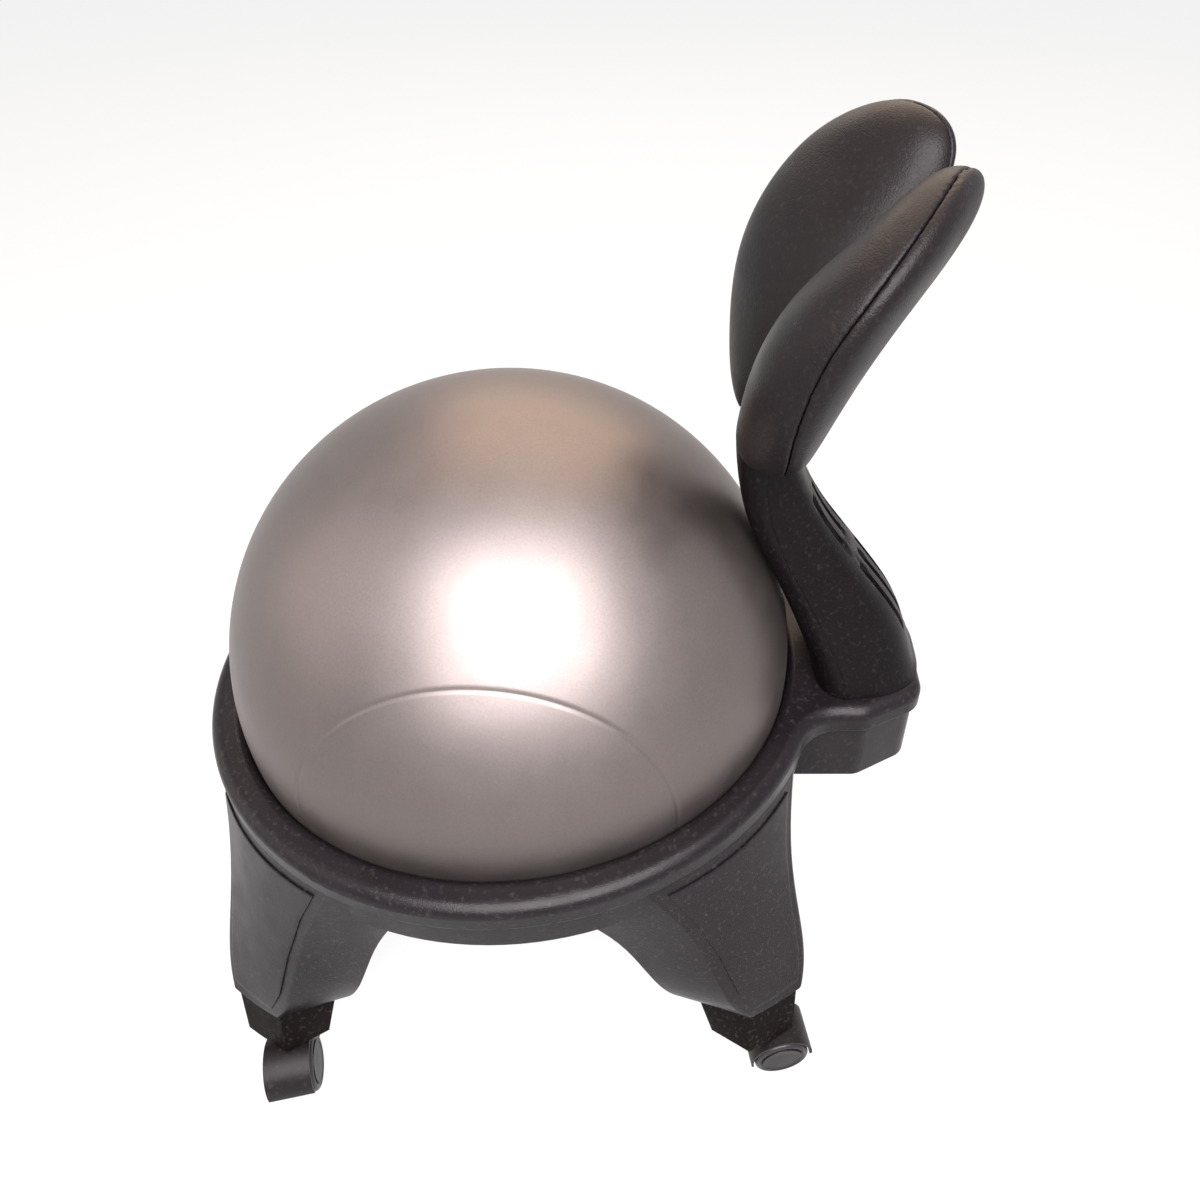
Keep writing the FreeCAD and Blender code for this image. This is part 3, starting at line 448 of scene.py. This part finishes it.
@dataclass(frozen=True)
class Base(Assembly):
    """Rolled ring with bowl, platform and legs, the four leg extensions and the legs' framed panels."""

    levels: tuple[LegLevel, ...] = (
        LegLevel(0.110, 0.3520, 0.0310, 14.0, 0.001),
        LegLevel(0.150, 0.3366, 0.0465, 7.4, 0.003),
        LegLevel(0.205, 0.3153, 0.0546, 4.2, 0.006),
        LegLevel(0.260, 0.2940, 0.0688, 1.5, 0.010),
        LegLevel(0.312, 0.2740, 0.0911, 0.0, 0.015),
    )
    border: float = 0.0085
    panel_low: float = 0.1205
    panel_high: float = 0.3015
    columns: int = 20
    rows: int = 44
    clear: float = 0.003
    stand: float = 0.0008
    edge: float = 0.0004
    even_rounds: int = 3
    crease: float = math.radians(35)
    corners: tuple[tuple[str, int, int], ...] = (
        ("fr", 1, -1), ("rr", 1, 1), ("fl", -1, -1), ("rl", -1, 1),
    )

    def finishes(self) -> dict[str, Finish]:
        """Tells which finish each solid has.

        Returns:
            Finishes by the beginning of the solid's name.
        """
        return {
            "base_shell": BASE_PLASTIC,
            "leg_extension": FOOT_PLASTIC,
            "caster_socket": SOCKET_PLASTIC,
        }

    def build(self) -> None:
        """Models the four panels."""
        low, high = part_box("exercise_ball")
        for corner, side, end in self.corners:
            self._panel(corner, side, end, (low.y + high.y) / 2)

    def _face(self, height: float, across: float) -> Vector:
        """Finds a spot in front of a leg's outer face.

        Args:
            height: Height over the floor.
            across: From -1 on one edge of the panel to 1 on the other.

        Returns:
            Radial, sideways and upward place.
        """
        pairs = zip(self.levels, self.levels[1:])
        low, high = next(pair for pair in pairs if height <= pair[1].height)
        share = (height - low.height) / (high.height - low.height)

        def between(name: str) -> float:
            """Blends one size of the two levels.

            Args:
                name: The size's name in a level.

            Returns:
                Its value at this height.
            """
            return getattr(low, name) * (1 - share) + getattr(high, name) * share

        half = (between("half_width") - self.border) * across
        turn = math.radians(between("turn"))
        bulge = between("bow") * (1 - across * across) + self.clear
        return Vector((between("reach") + math.sin(turn) * half + bulge, math.cos(turn) * half, height))

    def _panel(self, corner: str, side: int, end: int, ring_y: float) -> None:
        """Models the raised field that the frame line of one leg encloses.

        Args:
            corner: The leg's corner.
            side: 1 on the +X side and -1 on the other.
            end: 1 behind and -1 in front.
            ring_y: Y of the ring's axis.
        """
        clear_selection()
        bpy.ops.mesh.primitive_grid_add(x_subdivisions=self.columns, y_subdivisions=self.rows, size=2)
        panel = named("leg_panel_" + corner)
        for vertex in panel.data.vertices:
            rise = self.panel_low + (self.panel_high - self.panel_low) * (vertex.co.y + 1) / 2
            out, along, height = self._face(rise, vertex.co.x)
            vertex.co = (
                side * (out - along) * math.sqrt(0.5),
                ring_y + end * (out + along) * math.sqrt(0.5),
                height,
            )
        bpy.ops.object.mode_set(mode="EDIT")
        bpy.ops.mesh.select_all(action="SELECT")
        bpy.ops.mesh.normals_make_consistent(inside=False)
        bpy.ops.object.mode_set(mode="OBJECT")
        modify(
            panel, "SHRINKWRAP", target=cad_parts["base_shell"], wrap_mode="OUTSIDE_SURFACE",
            offset=self.stand,
        )
        modify(panel, "SMOOTH", iterations=self.even_rounds)
        modify(panel, "SOLIDIFY", thickness=2 * self.stand, offset=0.0)
        modify(panel, "BEVEL", width=self.edge, segments=2, angle_limit=math.radians(60))
        bpy.ops.object.shade_smooth_by_angle(angle=self.crease)
        finish_piece(panel, BASE_PLASTIC, "base")


@dataclass(frozen=True)
class Post(Assembly):
    """Back post with its bolts, the bar that carries the backrest and the parting line down each side."""

    seam: tuple[tuple[float, float], ...] = (
        (0.3378, 0.2637), (0.362, 0.2562), (0.402, 0.2406), (0.444, 0.2187), (0.484, 0.1975),
        (0.521, 0.1832), (0.556, 0.1770), (0.580, 0.1785), (0.6042, 0.1870),
    )
    seam_half_width: float = 0.0009
    seam_depth: float = 0.0008
    level_margin: float = 1e-5
    line_margin: float = 1e-4
    crease: float = math.radians(34)

    def finishes(self) -> dict[str, Finish]:
        """Tells which finish each solid has.

        Returns:
            Finishes by the beginning of the solid's name.
        """
        return {
            "back_post": POST_PLASTIC,
            "neck_bar": BLACK_STEEL,
            "post_bolts": ZINC,
            "post_washers": ZINC,
        }

    def build(self) -> None:
        """Models the post again with the parting line sunk into it."""
        post = smooth_copy("back_post", "seamed_post")
        bpy.ops.object.mode_set(mode="EDIT")
        for height, _ in self.seam[1:-1]:
            bpy.ops.mesh.select_all(action="SELECT")
            bpy.ops.mesh.bisect(plane_co=(0, 0, height), plane_no=(0, 0, 1))
        for low, high in zip(self.seam, self.seam[1:]):
            self._sink_band(post, low, high)
        bpy.ops.object.mode_set(mode="OBJECT")
        bpy.ops.object.shade_smooth_by_angle(angle=self.crease)
        finish_piece(post, POST_PLASTIC, "base")
        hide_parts("back_post")

    def _sink_band(
        self, post: bpy.types.Object, low: tuple[float, float], high: tuple[float, float]
    ) -> None:
        """Sinks the parting line between two heights.

        Args:
            post: The post in edit mode.
            low: Height and Y where this stretch begins.
            high: Height and Y where it ends.
        """
        start = Vector((0, low[1], low[0]))
        across = Vector((0, high[0] - low[0], low[1] - high[1])).normalized()
        for step in (-1, 0, 1):
            pick(post, "FACE", lambda place, _: low[0] < place.z < high[0])
            bpy.ops.mesh.bisect(
                plane_co=start + across * self.seam_half_width * step, plane_no=across
            )

        def on_line(place: Vector, normal: Vector) -> bool:
            """Tells whether a vertex of the outer skin lies on this stretch of the line.

            Args:
                place: The vertex.
                normal: Its normal.

            Returns:
                True on the line.
            """
            in_band = low[0] < place.z - self.level_margin < high[0]
            off_line = abs((place - start).dot(across))
            return in_band and off_line < self.line_margin and normal.x * place.x > 0

        pick(post, "VERT", on_line)
        bpy.ops.transform.shrink_fatten(value=-self.seam_depth)


@dataclass(frozen=True)
class Ball(Assembly):
    """The inflated ball, with the two ring lines its mould leaves."""

    segments: int = 160
    rings: int = 96
    ring_share: float = 0.805
    ring_half_width: float = 0.0013
    ring_depth: float = 0.0007
    ring_steps: tuple[float, ...] = (-1.0, -0.4, 0.0, 0.4, 1.0)

    def finishes(self) -> dict[str, Finish]:
        """Tells which finish each solid has.

        Returns:
            Finishes by the beginning of the solid's name.
        """
        return {"exercise_ball": BALL_SKIN, "ball_plug": PLUG_PLASTIC}

    def build(self) -> None:
        """Models the ball and puts it in the place of the plain one."""
        low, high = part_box("exercise_ball")
        centre = (low + high) / 2
        radius = (high.z - low.z) / 2
        clear_selection()
        bpy.ops.mesh.primitive_uv_sphere_add(
            segments=self.segments, ring_count=self.rings, radius=radius, location=centre,
            rotation=(0, math.pi / 2, 0),
        )
        ball = named("silver_ball")
        settle(ball)
        bpy.ops.object.mode_set(mode="EDIT")
        for share in (-self.ring_share, self.ring_share):
            self._sink_ring(ball, centre, radius, radius * share)
        bpy.ops.object.mode_set(mode="OBJECT")
        bpy.ops.object.shade_smooth()
        finish_piece(ball, BALL_SKIN, "ball")
        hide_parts("exercise_ball")

    def _sink_ring(self, ball: bpy.types.Object, centre: Vector, radius: float, offset: float) -> None:
        """Sinks one ring line into the skin.

        Args:
            ball: The ball in edit mode.
            centre: Its centre.
            radius: Its radius.
            offset: Distance of the ring's plane from the centre, along X.
        """
        half = self.ring_half_width
        for step in self.ring_steps:
            bpy.ops.mesh.select_all(action="SELECT")
            bpy.ops.mesh.bisect(
                plane_co=centre + Vector((offset + half * step, 0, 0)), plane_no=(1, 0, 0)
            )
        pick(ball, "VERT", lambda place, _: abs(place.x - centre.x - offset) < half / 2)
        share = 1 - self.ring_depth / radius
        bpy.ops.transform.resize(value=(share, share, share), center_override=centre)


@dataclass(frozen=True)
class Backrest(Assembly):
    """The two-lobed backrest: a padded front and a harder rear half that meet at a parting line."""

    voxel: float = 0.0016
    rounds: int = 12

    def finishes(self) -> dict[str, Finish]:
        """Tells which finish each solid has.

        Returns:
            Finishes by the beginning of the solid's name.
        """
        return {"backrest": PAD_SKIN, "clamp_stud": ZINC, "clamp_knob": KNOB_PLASTIC}

    def build(self) -> None:
        """Models the padded front and the rear half."""
        front = self._half("backrest_cushion", "padded_cushion", "black_pad")
        self._half("backrest_shell", "padded_shell", "black_plastic")

    def _half(self, node: str, name: str, slot: str) -> bpy.types.Object:
        """Models one half with soft, rounded skin.

        Args:
            node: The solid it stands for.
            name: The piece's name.
            slot: Not used.

        Returns:
            The finished half.
        """
        piece = smooth_copy(node, name)
        modify(piece, "REMESH", mode="VOXEL", voxel_size=self.voxel, use_smooth_shade=True)
        modify(piece, "SMOOTH", factor=0.5, iterations=self.rounds)
        finish_piece(piece, PAD_SKIN, "backrest")
        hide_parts(node)
        return piece


@dataclass(frozen=True)
class Casters(Assembly):
    """Four twin-wheel casters, with a cap snapped on each wheel."""

    corners: tuple[str, ...] = ("fr", "rr", "fl", "rl")
    cap_radius: float = 0.0205
    cap_depth: float = 0.0022
    cap_stand: float = 0.0007
    dish_steps: tuple[tuple[float, float], ...] = (
        (0.0016, 0.0), (0.00064, -0.0005), (0.007175, 0.0002), (0.005125, 0.00015),
    )
    edge: float = 0.0003
    crease: float = math.radians(40)

    def finishes(self) -> dict[str, Finish]:
        """Tells which finish each solid has.

        Returns:
            Finishes by the beginning of the solid's name.
        """
        return {
            "caster_stem": ZINC,
            "caster_axle": ZINC,
            "caster_housing": HOUSING_PLASTIC,
            "caster_wheel": WHEEL_PLASTIC,
        }

    def build(self) -> None:
        """Models the caps."""
        for corner in self.corners:
            spots = [self._middle("caster_wheel_%s_%s" % (corner, letter)) for letter in "ab"]
            for letter, spot, other in zip("ab", spots, reversed(spots)):
                self._cap(corner, letter, spot, (spot - other).normalized())

    def _middle(self, node: str) -> Vector:
        """Finds the middle of a solid.

        Args:
            node: The solid's name.

        Returns:
            The middle of its box.
        """
        low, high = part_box(node)
        return (low + high) / 2

    def _cap(self, corner: str, letter: str, spot: Vector, out: Vector) -> None:
        """Models one dished cap.

        Args:
            corner: The caster's corner.
            letter: The wheel on that caster.
            spot: The wheel's middle.
            out: The wheel's outward direction.
        """
        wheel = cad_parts["caster_wheel_%s_%s" % (corner, letter)]
        face = max((wheel.matrix_world @ vertex.co - spot).dot(out) for vertex in wheel.data.vertices)
        clear_selection()
        bpy.ops.mesh.primitive_cylinder_add(
            vertices=64, radius=self.cap_radius, depth=self.cap_depth,
            location=spot + out * (face + self.cap_stand - self.cap_depth / 2),
            rotation=out.to_track_quat("Z", "Y").to_euler(),
        )
        cap = named("hub_cap_%s_%s" % (corner, letter))
        bpy.ops.object.mode_set(mode="EDIT")
        pick(cap, "FACE", lambda _, normal: normal.z > 0.9)
        for width, rise in self.dish_steps:
            bpy.ops.mesh.inset(thickness=width, depth=rise)
        bpy.ops.object.mode_set(mode="OBJECT")
        modify(cap, "BEVEL", width=self.edge, segments=2)
        bpy.ops.object.shade_smooth_by_angle(angle=self.crease)
        finish_piece(cap, HUB_PLASTIC, "wheel_%s_%s" % (corner, letter))


@dataclass(frozen=True)
class Lamp:
    """A square soft lamp."""

    name: str
    place: tuple[float, float, float]
    size: float
    power: float
    colour: tuple[float, float, float] = (1.0, 1.0, 1.0)


@dataclass(frozen=True)
class Studio:
    """Pale floor and backdrop, soft lamps and the camera at the photograph's angle."""

    camera_place: tuple[float, float, float] = (0.7002, 0.1529, 1.0308)
    pitch: float = math.radians(42.0)
    lens: float = 30.0
    shift: float = -0.0638
    sensor: float = 36.0
    floor_size: float = 30.0
    floor_grey: float = 0.86
    backdrop_grey: float = 0.876
    lamps: tuple[Lamp, ...] = (
        Lamp("key lamp", (1.10, 0.20, 1.65), 1.8, 138.0, (1.0, 0.965, 0.97)),
        Lamp("wall lamp", (-2.0, 0.2, 2.6), 3.0, 78.0, (1.0, 0.75, 0.52)),
        Lamp("side lamp", (0.3, -2.6, 1.7), 2.4, 28.0, (1.0, 0.86, 0.76)),
    )
    target: tuple[float, float, float] = (0.0, 0.0, 0.35)
    floor_glow: float = 0.85
    world_strength: float = 0.20

    def build(self) -> None:
        """Sets the floor, the world, the lamps and the camera."""
        self._floor()
        self._world()
        for lamp in self.lamps:
            self._light(lamp)
        self._camera()

    def _seen_share(self, tree: bpy.types.NodeTree, share: bpy.types.NodeSocket) -> None:
        """Feeds a socket 1 for camera, glossy and transmitted rays and 0 for the rest.

        Args:
            tree: The nodes the socket belongs to.
            share: The factor socket to feed.
        """
        path = tree.nodes.new("ShaderNodeLightPath")
        total = None
        for name in ("Is Camera Ray", "Is Glossy Ray", "Is Transmission Ray"):
            if total is None:
                total = path.outputs[name]
                continue
            add = tree.nodes.new("ShaderNodeMath")
            add.operation = "ADD"
            add.use_clamp = True
            tree.links.new(total, add.inputs[0])
            tree.links.new(path.outputs[name], add.inputs[1])
            total = add.outputs["Value"]
        tree.links.new(total, share)

    def _floor(self) -> None:
        """A plain pale floor that keeps the shadow."""
        clear_selection()
        bpy.ops.mesh.primitive_plane_add(size=self.floor_size, location=(0, 0, 0))
        floor = named("floor")
        material = bpy.data.materials.new("pale floor")
        material.use_nodes = True
        tree = material.node_tree
        shader = tree.nodes["Principled BSDF"]
        shader.inputs["Base Color"].default_value = (*[self.floor_grey] * 3, 1)
        shader.inputs["Roughness"].default_value = 0.9
        shader.inputs["Specular IOR Level"].default_value = 0.0
        glow = tree.nodes.new("ShaderNodeEmission")
        glow.inputs["Strength"].default_value = 1.0
        mix = tree.nodes.new("ShaderNodeMixShader")
        share = tree.nodes.new("ShaderNodeMath")
        share.operation = "MULTIPLY"
        share.inputs[1].default_value = self.floor_glow
        self._seen_share(tree, share.inputs[0])
        tree.links.new(share.outputs["Value"], mix.inputs[0])
        tree.links.new(shader.outputs["BSDF"], mix.inputs[1])
        tree.links.new(glow.outputs["Emission"], mix.inputs[2])
        tree.links.new(mix.outputs["Shader"], tree.nodes["Material Output"].inputs["Surface"])
        floor.data.materials.append(material)

    def _world(self) -> None:
        """A backdrop as pale as the far floor and a soft grey for the light it gives."""
        world = bpy.data.worlds.new("studio")
        bpy.context.scene.world = world
        world.use_nodes = True
        tree = world.node_tree
        light = tree.nodes["Background"]
        light.inputs["Color"].default_value = (1, 1, 1, 1)
        light.inputs["Strength"].default_value = self.world_strength
        white = tree.nodes.new("ShaderNodeBackground")
        white.inputs["Color"].default_value = (*[self.backdrop_grey] * 3, 1)
        white.inputs["Strength"].default_value = 1.0
        mix = tree.nodes.new("ShaderNodeMixShader")
        self._seen_share(tree, mix.inputs[0])
        tree.links.new(light.outputs["Background"], mix.inputs[1])
        tree.links.new(white.outputs["Background"], mix.inputs[2])
        tree.links.new(mix.outputs["Shader"], tree.nodes["World Output"].inputs["Surface"])

    def _light(self, lamp: Lamp) -> None:
        """Hangs one lamp and points it at the chair.

        Args:
            lamp: The lamp's place, size, power and colour.
        """
        clear_selection()
        bpy.ops.object.light_add(type="AREA", location=lamp.place)
        light = bpy.context.active_object
        light.name = lamp.name
        light.data.size = lamp.size
        light.data.energy = lamp.power
        light.data.color = lamp.colour
        aim = Vector(self.target) - Vector(lamp.place)
        light.rotation_euler = aim.to_track_quat("-Z", "Y").to_euler()

    def _camera(self) -> None:
        """Adds the camera, looking along -X and down at the chair."""
        ring_centre = sum((Vector(corner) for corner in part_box("exercise_ball")), Vector()) / 2
        place = Vector(self.camera_place) + Vector((0, ring_centre.y, 0))
        clear_selection()
        bpy.ops.object.camera_add(
            location=place, rotation=(math.pi / 2 - self.pitch, 0, math.pi / 2)
        )
        camera = bpy.context.active_object
        camera.data.lens = self.lens
        camera.data.sensor_width = self.sensor
        camera.data.shift_x = self.shift
        bpy.context.scene.camera = camera


def main() -> None:
    """Builds and dresses the chair, then the studio round it."""
    logging.basicConfig(level=logging.INFO, format="%(name)s: %(message)s")
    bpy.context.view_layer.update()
    for assembly in (Base(), Post(), Ball(), Backrest(), Casters()):
        assembly.dress()
        assembly.build()
    Studio().build()
    scene = bpy.context.scene
    scene.view_settings.view_transform = "Standard"


if __name__ == "__main__":
    main()
